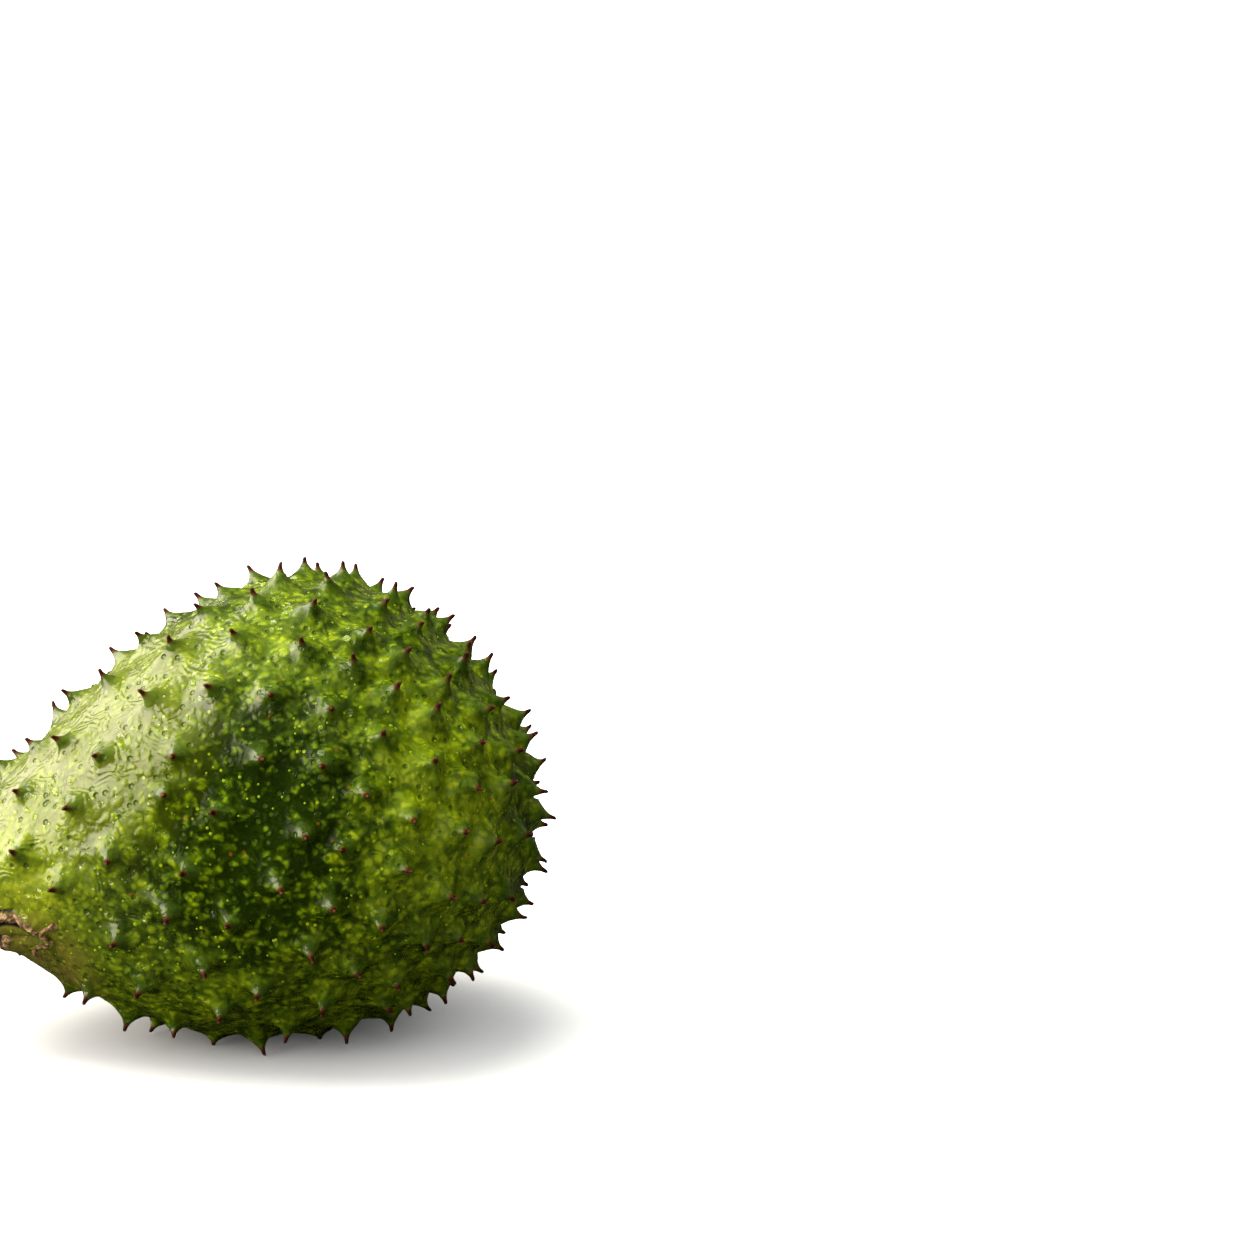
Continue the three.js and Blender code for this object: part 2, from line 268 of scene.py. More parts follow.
STEM_PLACE = skin(STEM_WAY)
FLAT_WAY = way_of(unlay(np.zeros(3)))
FLAT_PLACE = skin(FLAT_WAY)
CREASE_LINE = unit(skin(CREASE_TOWARD) - STEM_PLACE)
CREASE_NORMAL = egg_normal(CREASE_TOWARD)


def crease_run(place):
    """How far along the crease a place is."""
    beyond = place - STEM_PLACE
    # The far side of the fruit, well behind the crease's line, has none.
    return np.where(beyond @ CREASE_NORMAL < CREASE_BEHIND, -1, beyond @ CREASE_LINE)


def crease_aside(place):
    """How far to either side of the crease's middle a place is, along the skin."""
    beyond = place - STEM_PLACE
    aside = beyond - (beyond @ CREASE_LINE)[..., None] * CREASE_LINE
    aside = aside - (aside @ CREASE_NORMAL)[..., None] * CREASE_NORMAL
    return np.linalg.norm(aside, axis=-1)


def crease_side(place):
    """How far above the crease's middle a place is, along the skin."""
    return (place - STEM_PLACE) @ np.cross(CREASE_NORMAL, CREASE_LINE)


def crease(place):
    run = crease_run(place)
    fade = smooth(2, RIM_RADIUS, run) * (1 - smooth(0.7 * CREASE_LENGTH, CREASE_LENGTH, run))
    return CREASE_DEPTH * fade * np.exp(-((crease_aside(place) / CREASE_WIDTH) ** 2))


def rope_fade(place):
    run = crease_run(place)
    return smooth(ROPE_START, RIM_RADIUS, run) * (1 - smooth(ROPE_LENGTH - 7, ROPE_LENGTH, run))


def rope_side(place):
    """How far above the corky ridge's middle a place is. The ridge slants down to the crease."""
    aside = ROPE_ASIDE * (1 - smooth(ROPE_BEND, ROPE_LENGTH, crease_run(place)))
    return crease_side(place) - aside - 1 - 0.6 * ripple(place, 6.0, 12.1)


def rope(place):
    """The corky ridge above the crease, twisted like a rope."""
    beside = np.exp(-((rope_side(place) / ROPE_WIDTH) ** 2))
    twist = 0.7 + 0.35 * np.sin(1.5 * crease_run(place) + 1.2 * crease_side(place))
    return ROPE_HEIGHT * rope_fade(place) * beside * (twist + 0.4 * ripple(place, 2.3, 8.8))


def crack(place):
    """The cracks along both sides of the corky ridge, where the rind is darkened with painted
    shade.
    """
    side = rope_side(place)
    below = np.exp(-(((side + CRACK_ASIDE) / CRACK_WIDTH) ** 2))
    above = np.exp(-(((side - CRACK_ASIDE) / (0.6 * CRACK_WIDTH)) ** 2))
    return rope_fade(place) * np.maximum(below, above)


def relief(place):
    """The skin's own unevenness, apart from the patches."""
    uneven = 0.5 * ripple(place, 12.0) + 0.26 * ripple(place, 5.6, 31.7)
    return uneven + rope(place) - CRACK_DEPTH * crack(place) - crease(place)


def cork_near(place):
    """How corky the skin is, from 0 to 1: round the pit and along the crease."""
    distance = np.linalg.norm(place - STEM_PLACE, axis=-1)
    run = crease_run(place)
    wander = 2.4 * ripple(place, 7.0, 5.3)
    around = 1 - smooth(10.5, 15.0, distance + wander)
    beside = np.exp(-(((rope_side(place) + 0.5 + 0.4 * wander) / 2.5) ** 2))
    beside = beside * smooth(ROPE_START, 10, run)
    beside = beside * (1 - smooth(ROPE_LENGTH - 6, ROPE_LENGTH + 2, run))
    return np.clip(np.maximum(around, beside), 0, 1)


def pit_rise(distance):
    rim = RIM_HEIGHT * np.exp(-(((distance - RIM_RADIUS) / RIM_WIDTH) ** 2))
    return rim - PIT_DEPTH * (1 - smooth(PIT_FLOOR, PIT_MOUTH, distance))


def spine_sites():
    """Spines wind round the long axis by the golden angle, each with its own patch of skin."""
    sites = []
    u, k = -0.995, 0
    while u < 0.999:
        wide = math.sqrt(1 - u * u)
        turn = k * GOLDEN_ANGLE
        stray = SPACING_SPREAD * spacing(u) / (2 * HALF_HEIGHT)
        way = unit(np.array([
            u + stray * draw(k, 1),
            wide * math.cos(turn) + stray * draw(k, 2),
            wide * math.sin(turn) + stray * draw(k, 3),
        ]))
        place = skin(way)
        clear = np.linalg.norm(place - STEM_PLACE) > STEM_CLEAR
        clear = clear and np.linalg.norm(place - FLAT_PLACE) > FLAT_CLEAR
        if clear and crease(place) < 0.1:
            sites.append((way, k))
        u += math.sqrt(0.75) * spacing(u) ** 2 / band_area(u)
        k += 1
    return sites


# ---------------- the fruit's skin, patch by patch

class Ring:
    """Corners round a site, in order of angle, each with its spoke: its direction and length."""

    def __init__(self, index, angle, radius):
        shares = np.broadcast_to(radius, len(angle)) / PATCH_RADIUS
        self.angle = angle
        self.corners = [(i, (math.cos(a), math.sin(a), s)) for i, a, s in zip(index, angle, shares)]

    def at(self, k):
        return self.corners[k % len(self.corners)]

    def turn(self, k):
        """A corner's angle, a full turn on each time round."""
        rounds, place = divmod(k, len(self.corners))
        return self.angle[place] + 2 * math.pi * rounds


class Hide:
    """The growing mesh of the fruit's skin."""

    MARKS = ("tip", "cork", "keel", "crack")

    def __init__(self):
        self.count = 0
        self.places = []
        self.marks = {name: [] for name in self.MARKS}
        self.faces, self.spokes, self.patches = [], [], []

    def add(self, places, **marks):
        """Adds corners, with how much each is a spine's tip, cork, keel or crack."""
        self.places.append(places)
        for name in self.MARKS:
            self.marks[name].append(np.broadcast_to(marks.get(name, 0.0), len(places)))
        first = self.count
        self.count += len(places)
        return list(range(first, self.count))

    def face(self, corners, patch):
        self.faces.append([c[0] for c in corners])
        self.spokes.extend(c[1] for c in corners)
        self.patches.extend([patch] * 3)

    def band(self, inner, outer, patch):
        """Joins two rings round one middle with a band of triangles."""
        n, m = len(inner.corners), len(outer.corners)
        i = j = 0
        while i < n or j < m:
            if j >= m or (i < n and inner.turn(i + 1) < outer.turn(j + 1)):
                i += 1
                self.face([inner.at(i - 1), outer.at(j), inner.at(i)], patch)
            else:
                j += 1
                self.face([inner.at(i), outer.at(j - 1), outer.at(j)], patch)

    def cover(self, top, rings, patch):
        """Covers a patch from its top corner out over its rings."""
        for k in range(len(rings[0].corners)):
            self.face([(top, (0, 0, 0)), rings[0].at(k), rings[0].at(k + 1)], patch)
        for inner, outer in zip(rings, rings[1:]):
            self.band(inner, outer, patch)


def round_site(way, axes, radius, angle):
    """The unit vectors whose skin lies at a radius and angles in a site's tangent plane."""
    out, along, across = axes
    target = skin(way) + np.outer(radius * np.cos(angle), along)
    target = target + np.outer(radius * np.sin(angle), across)
    aim = target.copy()
    for _ in range(3):
        miss = target - skin(way_of(aim))
        aim = aim + miss - np.outer(miss @ out, out)
    return way_of(aim)


def patch_corners(ways):
    """The corners between three sites, as unit vectors, and the two corners of each pair's edge."""
    bm = bmesh.new()
    sites = [bm.verts.new(w) for w in ways]
    bm.verts.index_update()
    bmesh.ops.convex_hull(bm, input=sites)
    faces = [[v.index for v in f.verts] for f in bm.faces]
    bm.free()
    places = np.array(ways)
    corners, edges = [], {}
    for k, face in enumerate(faces):
        a, b, c = places[face]
        normal = unit(np.cross(b - a, c - a))
        corners.append(normal if normal @ a > 0 else -normal)
        for p, q in ((0, 1), (1, 2), (2, 0)):
            edges.setdefault(tuple(sorted((face[p], face[q]))), []).append(k)
    return corners, edges


def patch_borders(ways, hide):
    """The border of each patch, its edges cut finely and shared with the patches beside it."""
    corners, edges = patch_corners(ways)

    def put(way):
        place = skin(way)
        lowered = raised(way, relief(place) - valley(way[..., 0]))
        return hide.add(lowered, cork=cork_near(place), crack=crack(place))

    corner_index = [put(w[None])[0] for w in corners]
    borders = [{} for _ in ways]
    for sites, (a, b) in edges.items():
        start, end = corners[a], corners[b]
        fine = np.linalg.norm(skin(unit(start + end)) - STEM_PLACE) < FINE_REACH
        length = np.linalg.norm(skin(start) - skin(end))
        steps = max(1, round(length / (FINE_SEGMENT if fine else SEGMENT)))
        inside = [unit(start + (end - start) * k / steps) for k in range(1, steps)]
        index = put(np.array(inside)) if inside else []
        for site in sites:
            borders[site][corner_index[a]] = start
            borders[site][corner_index[b]] = end
            borders[site].update(zip(index, inside))
    return borders


def border_ring(way, axes, border):
    """A border's corners in order of their angle round the site, with the angles and the radii."""
    _, along, across = axes
    index = list(border)
    beyond = skin(np.array([border[k] for k in index])) - skin(way)
    x, y = beyond @ along, beyond @ across
    angle = np.arctan2(y, x)
    order = np.argsort(angle)
    return [index[k] for k in order], angle[order], np.hypot(x, y)[order]


class Spine:
    """One spine: which way it points, how high it is, and how its skirt, hook and keels lie."""

    def __init__(self, way, number):
        self.way, self.number = way, number
        self.axes = out, along, across = tangents(way)
        self.middle = skin(way)
        lean_x, lean_y = SPINE_LEAN * draw(number, 4), SPINE_LEAN * draw(number, 5)
        self.lean = math.atan2(lean_y, lean_x)
        self.point = unit(out + along * lean_x + across * lean_y)
        self.height = SPINE_HEIGHT * (1 + SPINE_HEIGHT_SPREAD * draw(number, 6))
        # A spine under the fruit ends where the floor presses it.
        root = lay(self.middle)[2]
        drop = root - lay(self.middle + self.point)[2]
        if drop > 0:
            self.height = min(self.height, root / drop)
        upward = unlay(lay(self.middle) + np.array([0, 0, 1.0])) - self.middle
        self.uphill = upward @ along, upward @ across
        self.ridge_turn = math.pi * draw(number, 7)
        self.ridge = SKIRT_RIDGE + SKIRT_RIDGE_SPREAD * draw(number, 8)
        self.hook = TIP_HOOK * (1 + TIP_HOOK_SPREAD * draw(number, 9))
        hook_turn = self.lean + TIP_HOOK_TURN * draw(number, 10)
        self.hook_way = along * math.cos(hook_turn) + across * math.sin(hook_turn)
        self.curl_way = 1 if draw(number, 12) > 0 else -1
        self.keel_height = KEEL_HEIGHT * (1 + KEEL_HEIGHT_SPREAD * draw(number, 14))

    def spread(self, angle):
        """How far the skirt runs out, as a share of its usual radius."""
        away = -SKIRT_AWAY * np.cos(angle - self.lean)
        uphill = self.uphill[0] * np.cos(angle) + self.uphill[1] * np.sin(angle)
        ridges = self.ridge * np.cos(3 * (angle - self.ridge_turn))
        ridges = ridges + SKIRT_SMALL_RIDGE * np.cos(5 * angle + self.number)
        return 1 + away + SKIRT_UPHILL * uphill + ridges

    def lift(self, place, share):
        """Moves places up the spine, which hooks over toward its tip."""
        bend = self.hook * np.clip(share - 0.25, 0, 1) ** 2 * 1.8
        return place + self.point * (self.height * share)[:, None] + np.outer(bend, self.hook_way)

    def keels(self, angle, radius):
        """The keels' rise at angles and distances from the spine, from about -0.5 to 0.5."""
        turn = self.ridge_turn + KEEL_CURL * (radius - 3) * self.curl_way
        phase = ((angle - turn) * KEEL_TEETH / (2 * math.pi)) % 1
        if self.curl_way < 0:
            phase = 1 - phase
        rise = np.clip(phase / KEEL_CREST, 0, 1) ** 1.3
        saw = np.where(phase < KEEL_CREST, rise, 1 - smooth(KEEL_CREST, 1, phase))
        uneven = 0.7 + 0.3 * np.cos(angle - math.pi * draw(self.number, 13))
        return (saw - 0.45) * uneven


def cone_rings(hide, spine):
    """Rings from a spine's tip down to its skirt."""
    angle = -math.pi + 2 * math.pi * (np.arange(SPINE_SIDES) + 0.5) / SPINE_SIDES
    for radius, share in SPINE_PROFILE:
        # The lower it is, the more a ring follows the skirt. Each is a little out of round.
        ease = float(np.clip((0.7 - share) / 0.35, 0, 1))
        r = radius * (1 + (spine.spread(angle) - 1) * ease)
        height = np.full(SPINE_SIDES, 6 * share + spine.number)
        wander = np.stack([2 * np.cos(angle), 2 * np.sin(angle), height], -1)
        r = r * (1 + 0.06 * ripple(wander, 1.0))
        ways = round_site(spine.way, spine.axes, r, angle)
        crest = spine.keels(angle, r) * smooth(0.9, 3.0, radius)
        place = raised(ways, relief(skin(ways)) + spine.keel_height * crest)
        place = spine.lift(place, np.full(SPINE_SIDES, share))
        yield Ring(hide.add(place, tip=share, keel=crest), angle, r)


def skirt_rings(hide, spine, angle, reach):
    """Rings from a spine's foot out toward its patch's border, where the skin sinks to a valley."""
    foot = np.minimum(SPINE_FOOT * spine.spread(angle), FOOT_MOST * reach)
    fine = np.linalg.norm(spine.middle - STEM_PLACE) < FINE_REACH
    steps = 1 + (FINE_SKIRT_RINGS if fine else SKIRT_RINGS)
    wide = 2.3 + 0.9 * smooth(-0.2, 0.6, spine.way[0])
    for k in range(steps):
        # The rings are closer together near the foot.
        t = k / steps
        t = t * (0.75 + 0.25 * t)
        r = foot + (reach - foot) * t
        ways = round_site(spine.way, spine.axes, r, angle)
        place = skin(ways)
        share = FOOT_SHARE * np.exp(-(r - foot) / wide) * (1 - t * t) ** 2
        crest = spine.keels(angle, r) * (1 - smooth(0.45, 1.0, r / reach))
        deep = valley(ways[:, 0]) * (0.45 * smooth(0.1, 1.0, r / reach) + 0.55 * (r / reach) ** 2)
        lifted = spine.lift(raised(ways, relief(place) + spine.keel_height * crest - deep), share)
        marks = {"tip": share, "keel": crest, "cork": cork_near(place), "crack": crack(place)}
        yield Ring(hide.add(lifted, **marks), angle, r)


def spine_patch(hide, way, number, border, patch):
    spine = Spine(way, number)
    index, angle, reach = border_ring(way, spine.axes, border)
    foot = spine.middle[None]
    foot = foot + spine.axes[0] * relief(foot)[:, None]
    top = hide.add(spine.lift(foot, np.array([1.0])), tip=1.0)[0]
    rings = [*cone_rings(hide, spine), *skirt_rings(hide, spine, angle, reach)]
    hide.cover(top, [*rings, Ring(index, angle, reach)], patch)


def stem_patch(hide, way, border, patch):
    """The pit with its corky rim, and the skin from there out to the first spines' patches."""
    axes = out, _, _ = tangents(way)
    index, angle, reach = border_ring(way, axes, border)
    sides = len(index)
    middle = skin(way) - out * PIT_DEPTH
    top = hide.add(middle[None], cork=1.0)[0]
    rings = []

    def put(place, moved, radius):
        added = hide.add(moved, cork=cork_near(place), crack=crack(place))
        rings.append(Ring(added, angle, radius))

    for radius in PIT_RADII:
        place = skin(round_site(way, axes, radius, angle))
        if radius <= PIT_FLOOR:
            rise = (middle - place) @ out
        else:
            radial = [3.2 * np.cos(angle), 3.2 * np.sin(angle), np.full(sides, radius * 0.11)]
            rough = 0.55 * ripple(np.stack(radial, -1), 0.5) + 0.3 * ripple(place, 1.9)
            rough = rough * smooth(PIT_FLOOR, 8.2, radius) * (1 - smooth(12, RIM_END, radius))
            shape = relief(place) + crease(place)
            rise = pit_rise(radius) + rough + shape * smooth(10, RIM_END, radius) - crease(place)
        put(place, place + np.outer(rise, out), radius)
    for k in range(1, STEM_RINGS):
        t = k / STEM_RINGS
        r = RIM_END + (reach - RIM_END) * t
        ways = round_site(way, axes, r, angle)
        place = skin(ways)
        sink = relief(place) - valley(ways[:, 0]) * smooth(0, 1, t)
        normal = unit(out * (1 - t) + egg_normal(ways) * t)
        put(place, place + normal * sink[:, None], r)
    hide.cover(top, [*rings, Ring(index, angle, reach)], patch)


def flat_patch(hide, way, border, patch):
    """The flat spot that the fruit rests on, and the skin round it."""
    axes = tangents(way)
    index, angle, reach = border_ring(way, axes, border)
    top = hide.add(unlay(np.zeros((1, 3))))[0]
    rings = []
    for radius in FLAT_RADII:
        laid = lay(skin(round_site(way, axes, radius, angle)))
        laid[:, 2] = 0
        rings.append(Ring(hide.add(unlay(laid)), angle, radius))
    for k in range(1, FLAT_RINGS):
        t = k / FLAT_RINGS
        r = FLAT_RADIUS + (reach - FLAT_RADIUS) * t
        ways = round_site(way, axes, r, angle)
        rise = (relief(skin(ways)) - valley(ways[:, 0])) * smooth(0, 1, t)
        rings.append(Ring(hide.add(raised(ways, rise)), angle, r))
    hide.cover(top, [*rings, Ring(index, angle, reach)], patch)


def new_object(name, data):
    made = bpy.data.objects.new(name, data)
    bpy.context.scene.collection.objects.link(made)
    return made


def mesh_object(name, places, faces):
    mesh = bpy.data.meshes.new(name)
    mesh.from_pydata([tuple(p) for p in places], [], faces)
    mesh.update()
    mesh.polygons.foreach_set("use_smooth", [True] * len(mesh.polygons))
    return new_object(name, mesh)


def mark(made, name, values, domain="POINT"):
    """Gives a mesh a number or a vector for each of its points or corners."""
    values = np.array(values, np.float32)
    kind, key = ("FLOAT_VECTOR", "vector") if values.ndim > 1 else ("FLOAT", "value")
    made.data.attributes.new(name, kind, domain).data.foreach_set(key, values.ravel())


def make_fruit():
    hide = Hide()
    sites = spine_sites()
    borders = patch_borders([STEM_WAY, FLAT_WAY, *(way for way, _ in sites)], hide)
    stem_patch(hide, STEM_WAY, borders[0], 0)
    flat_patch(hide, FLAT_WAY, borders[1], 1)
    for patch, (way, number) in enumerate(sites, 2):
        spine_patch(hide, way, number, borders[patch], patch)
    places = lay(np.concatenate(hide.places))
    places[:, 2] = np.maximum(places[:, 2], 0)
    made = mesh_object("soursop_skin", places * MM, hide.faces)
    for name, values in hide.marks.items():
        mark(made, name, np.concatenate(values))
    mark(made, "spoke", hide.spokes, "CORNER")
    mark(made, "patch", hide.patches, "CORNER")
    return made, hide


# ---------------- the water drops

def tube_faces(first, rows, sides):
    """Faces between rows of corners, each row going round once."""
    for a in range(first, first + (rows - 1) * sides, sides):
        b = a + sides
        for k in range(sides):
            q = (k + 1) % sides
            yield a + k, a + q, b + q, b + k


def drop_spots(tree):
    """Places on the skin's upper side, clear of the spines and the cork, where drops cling."""
    random = np.random.default_rng(SEED)
    ways = unit(random.normal(size=(DROP_TRIES, 3)))
    sizes = random.random(DROP_TRIES)
    places, normals = skin(ways), egg_normal(ways)
    use = (ripple(places, WET_AREA, 3.3) > WET_FROM) & (cork_near(places) <= CORK_MOST)
    use = use & (lay(places)[:, 2] >= DROP_LOWEST)
    for place, normal, size in zip(places[use], normals[use], sizes[use]):
        start = Vector(place + DROP_SEARCH * normal)
        spot, facing, _, gone = tree.ray_cast(start, Vector(-normal))
        if spot is None or facing.dot(Vector(normal)) <= DROP_FACING:
            continue
        if DROP_SEARCH - gone < DROP_CLIMB:
            yield spot, facing, DROP_RADIUS + DROP_RADIUS_SPREAD * size**5


def make_drops(hide):
    tree = BVHTree.FromPolygons([Vector(p) for p in np.concatenate(hide.places)], hide.faces)
    angles = [2 * math.pi * k / DROP_SIDES for k in range(DROP_SIDES)]
    outline = [(0, 0, DROP_BOTTOM)]
    for wide, high in DROP_PROFILE:
        outline.extend((wide * math.cos(a), wide * math.sin(a), high) for a in angles)
    outline.append((0, 0, DROP_TOP))
    places, faces, lime = [], [], []
    for number, (spot, facing, radius) in enumerate(drop_spots(tree)):
        turn = Vector((0, 0, 1)).rotation_difference(facing).to_matrix()
        bottom = len(places)
        top = bottom + len(outline) - 1
        places.extend(spot + turn @ Vector(p) * radius for p in outline)
        lime.extend([float(number % 5 < 2 and radius < LIME_DROP)] * len(outline))
        for k in range(DROP_SIDES):
            q = (k + 1) % DROP_SIDES
            faces.append((bottom, bottom + 1 + q, bottom + 1 + k))
            faces.append((top - DROP_SIDES + k, top - DROP_SIDES + q, top))
        faces.extend(tube_faces(bottom + 1, len(DROP_PROFILE), DROP_SIDES))
    laid = lay(np.array([tuple(p) for p in places]))
    made = mesh_object("water_drops", laid * MM, faces)
    mark(made, "lime", lime)
    return made


# ---------------- the withered spine

def spline(points, t):
    """A smooth line through the points, at t."""
    k = min(int(t), len(points) - 2)
    f = t - k
    a, b, c, d = (points[min(max(i, 0), len(points) - 1)] for i in range(k - 1, k + 3))
    square, cube = 2 * a - 5 * b + 4 * c - d, 3 * b - a - 3 * c + d
    return 0.5 * (2 * b + (c - a) * f + square * f**2 + cube * f**3)


def make_withered():
    """A thin twisted tube along the withered spine's middle line, closed at both ends."""
    count, sides = len(WITHERED), WITHERED_SIDES
    steps = np.linspace(0, count - 1, WITHERED_STEPS * count)
    middle = np.array([spline(np.array(WITHERED), t) for t in steps])
    radii = np.interp(steps, np.arange(count), WITHERED_RADIUS)
    along = unit(np.gradient(middle, axis=0))
    places = []
    for k, (centre, radius, way) in enumerate(zip(middle, radii, along)):
        first = unit(np.cross(way, (0.3, 0.8, 0.5)))
        second = np.cross(way, first)
        for j in range(sides):
            a = 2 * math.pi * j / sides
            ridge = 1 + 0.16 * math.cos(3 * a + 0.5 * k) + 0.10 * math.sin(1.7 * k + a)
            places.append(centre + radius * ridge * (math.cos(a) * first + math.sin(a) * second))
    rows = len(middle)
    faces = list(tube_faces(0, rows, sides))
    faces.append(tuple(reversed(range(sides))))
    faces.append(tuple(range((rows - 1) * sides, rows * sides)))
    return mesh_object("withered_spine", np.array(places) * MM, faces)


# ---------------- the stalk

def stalk_radius(height, share, a):
    """The stalk's radius at a height and angle: a little three-sided, and barked on its side."""
    r = float(np.interp(height, *zip(*STALK_PROFILE))) * share
    r *= 1 + 0.05 * math.sin(3 * a + 0.12 * height) * float(smooth(0, 3, height))
    if share == 1:
        x, y = 2.6 * math.cos(a), 2.6 * math.sin(a)
        bark = noise.noise(Vector((x, y, 0.16 * height)) * 1.7)
        cracks = noise.noise(Vector((x, y, 0.5 * height)) * 3.1)
        r += 0.2 * bark + 0.1 * cracks
    return r


def make_stalk():
    out = tangents(STEM_WAY)[0]
    foot = STEM_PLACE + out * (JOINT_GAP - PIT_DEPTH)
    start = lay(foot)
    way = Vector(lay(foot + out) - start).normalized()
    turn = Vector((0, 1, 0)).rotation_difference(way).to_matrix()
    angles = [2 * math.pi * k / STALK_SIDES for k in range(STALK_SIDES)]
    places = []

    def put(r, height, a):
        p = turn @ Vector((r * math.cos(a), height, r * math.sin(a)))
        places.append(tuple((start + np.array(p)) * MM))

    put(0, 0, 0)
    rings = [(0.0, share) for share in STALK_FOOT_SHARES]
    rings += [(STALK_LENGTH * k / STALK_ROWS, 1) for k in range(STALK_ROWS)]
    for height, share in rings:
        for a in angles:
            put(stalk_radius(height, share, a), height, a)
    # The snapped end is torn.
    for share in STALK_END_SHARES:
        r = float(np.interp(STALK_LENGTH, *zip(*STALK_PROFILE))) * share
        for a in angles:
            x, y = 4 * share * math.cos(a), 4 * share * math.sin(a)
            torn = noise.noise(Vector((x, y, 9.1)) * 1.6)
            put(r, STALK_LENGTH - 0.35 + 0.5 * torn + 0.25 * (1 - share), a)
    put(0, STALK_LENGTH, 0)

    rows = len(rings) + len(STALK_END_SHARES)
    last = len(places) - 1
    # The stalk's angles run the other way round, so its faces are turned over.
    faces = [(a, d, c, b) for a, b, c, d in tube_faces(1, rows, STALK_SIDES)]
    for k in range(STALK_SIDES):
        q = (k + 1) % STALK_SIDES
        faces.append((0, 1 + k, 1 + q))
        faces.append((last - STALK_SIDES + k, last, last - STALK_SIDES + q))
    return mesh_object("stalk_stub", places, faces)


# ---------------- materials

# Painted light and shade: where the rind is painted a deeper green for shade or a lighter one for
# light: the middle, how far it is full and where it ends, in metres, and the change of tone. The
# first is the flank with the deepest painted shade.
PAINTED_LIGHT_AND_SHADE_PLACES = [
    ((-0.018, -0.068, 0.080), 0.023, 0.055, -0.16),
    ((0.000, -0.061, 0.116), 0.010, 0.040, -0.09),
    ((0.036, -0.067, 0.100), 0.014, 0.052, 0.10),
    ((-0.066, -0.028, 0.106), 0.010, 0.038, -0.05),
    ((-0.012, -0.036, 0.137), 0.008, 0.028, 0.06),
    ((-0.088, -0.031, 0.068), 0.010, 0.034, 0.20),
    ((-0.052, -0.047, 0.040), 0.010, 0.034, -0.06),
]
PAINTED_SHADE_PLACE = PAINTED_LIGHT_AND_SHADE_PLACES[0][:3]

# The waxy stem end, the painted sheen over its middle, an even pale green where the key light
# falls, and the tan underside, in the same way.
WAXY_PLACE = ((-0.070, -0.020, 0.115), 0.045, 0.110, 1.0)
PAINTED_SHEEN_PLACE = ((-0.070, -0.020, 0.115), 0.034, 0.064, 0.6)
TAN_PLACE = ((-0.082, -0.018, 0.036), 0.012, 0.034, 0.8)

# The shine of the flank with the painted shade, the waxy stem end, the rest and the spines; the
# tips' share.
DULL_GLOSS, FULL_GLOSS, HALF_GLOSS, SPINE_GLOSS, TIP_GLOSS = 0.10, 0.95, 0.42, 0.95, 0.14

# The rind's colour at each tone, and the colours laid over it.
GREENS = [
    (0.24, (0.006, 0.014, 0.0001)),
    (0.34, (0.018, 0.036, 0.0001)),
    (0.42, (0.042, 0.074, 0.0002)),
    (0.51, (0.083, 0.132, 0.0003)),
    (0.60, (0.138, 0.198, 0.0006)),
    (0.72, (0.228, 0.292, 0.0020)),
]
# The first is painted light: the even pale green of the sheen at the stem end.
PAINTED_SHEEN_GREEN, STREAK_GREEN = (0.112, 0.144, 0.0006, 1), (0.030, 0.055, 0.0005, 1)
TAN, PIT_GREEN = (0.120, 0.098, 0.012, 1), (0.034, 0.064, 0.0006, 1)
# The first is painted light: lime dots like the light that water drops gather on the skin.
GATHERED_LIGHT_LIME, SPECK_BROWN = (0.32, 0.40, 0.003, 1), (0.150, 0.060, 0.004, 1)
# The first is partly the spines' own deeper green and partly painted shade on their flanks.
SPINE_GREEN_AND_SHADE, TIP_MAROON = (0.030, 0.064, 0.0004, 1), (0.078, 0.024, 0.007, 1)
TIP_DARK, TIP_END = (0.030, 0.006, 0.004, 1), (0.11, 0.040, 0.022, 1)
# The first is painted shade: the near black in the cracks.
CRACK_SHADE, DROP_LIME = (0.010, 0.006, 0.003, 1), (0.34, 0.50, 0.015, 1)
CORK_COLOURS = [
    (0.38, (0.018, 0.010, 0.004)), (0.47, (0.120, 0.066, 0.024)),
    (0.56, (0.330, 0.205, 0.090)), (0.68, (0.560, 0.420, 0.240)),
]
WOOD_COLOURS = [
    (0.36, (0.020, 0.012, 0.006)), (0.47, (0.130, 0.074, 0.030)),
    (0.57, (0.310, 0.200, 0.100)), (0.70, (0.520, 0.400, 0.240)),
]
WHITE = (1, 1, 1, 1)

# The depth of the textures' relief, in metres.
RIND_RELIEF, WOOD_RELIEF, WATER_RELIEF = 0.0014, 0.0009, 0.00005

# The floor's colour in the fruit's shine, in its soft light, under it and clear of it, how far the
# fruit shades it, and its glow, which turns it white from a near distance to a far one.
FLOOR_IN_SHINE, FLOOR_IN_LIGHT = (0.01, 0.01, 0.01, 1), (0.20, 0.19, 0.16, 1)
FLOOR_UNDER, FLOOR_CLEAR = (0.27, 0.27, 0.27, 1), (0.78, 0.82, 0.90, 1)
FLOOR_SHADE_REACH = 0.12
FLOOR_GLOW = (0.14, 0.6, 0.54, 1.0)


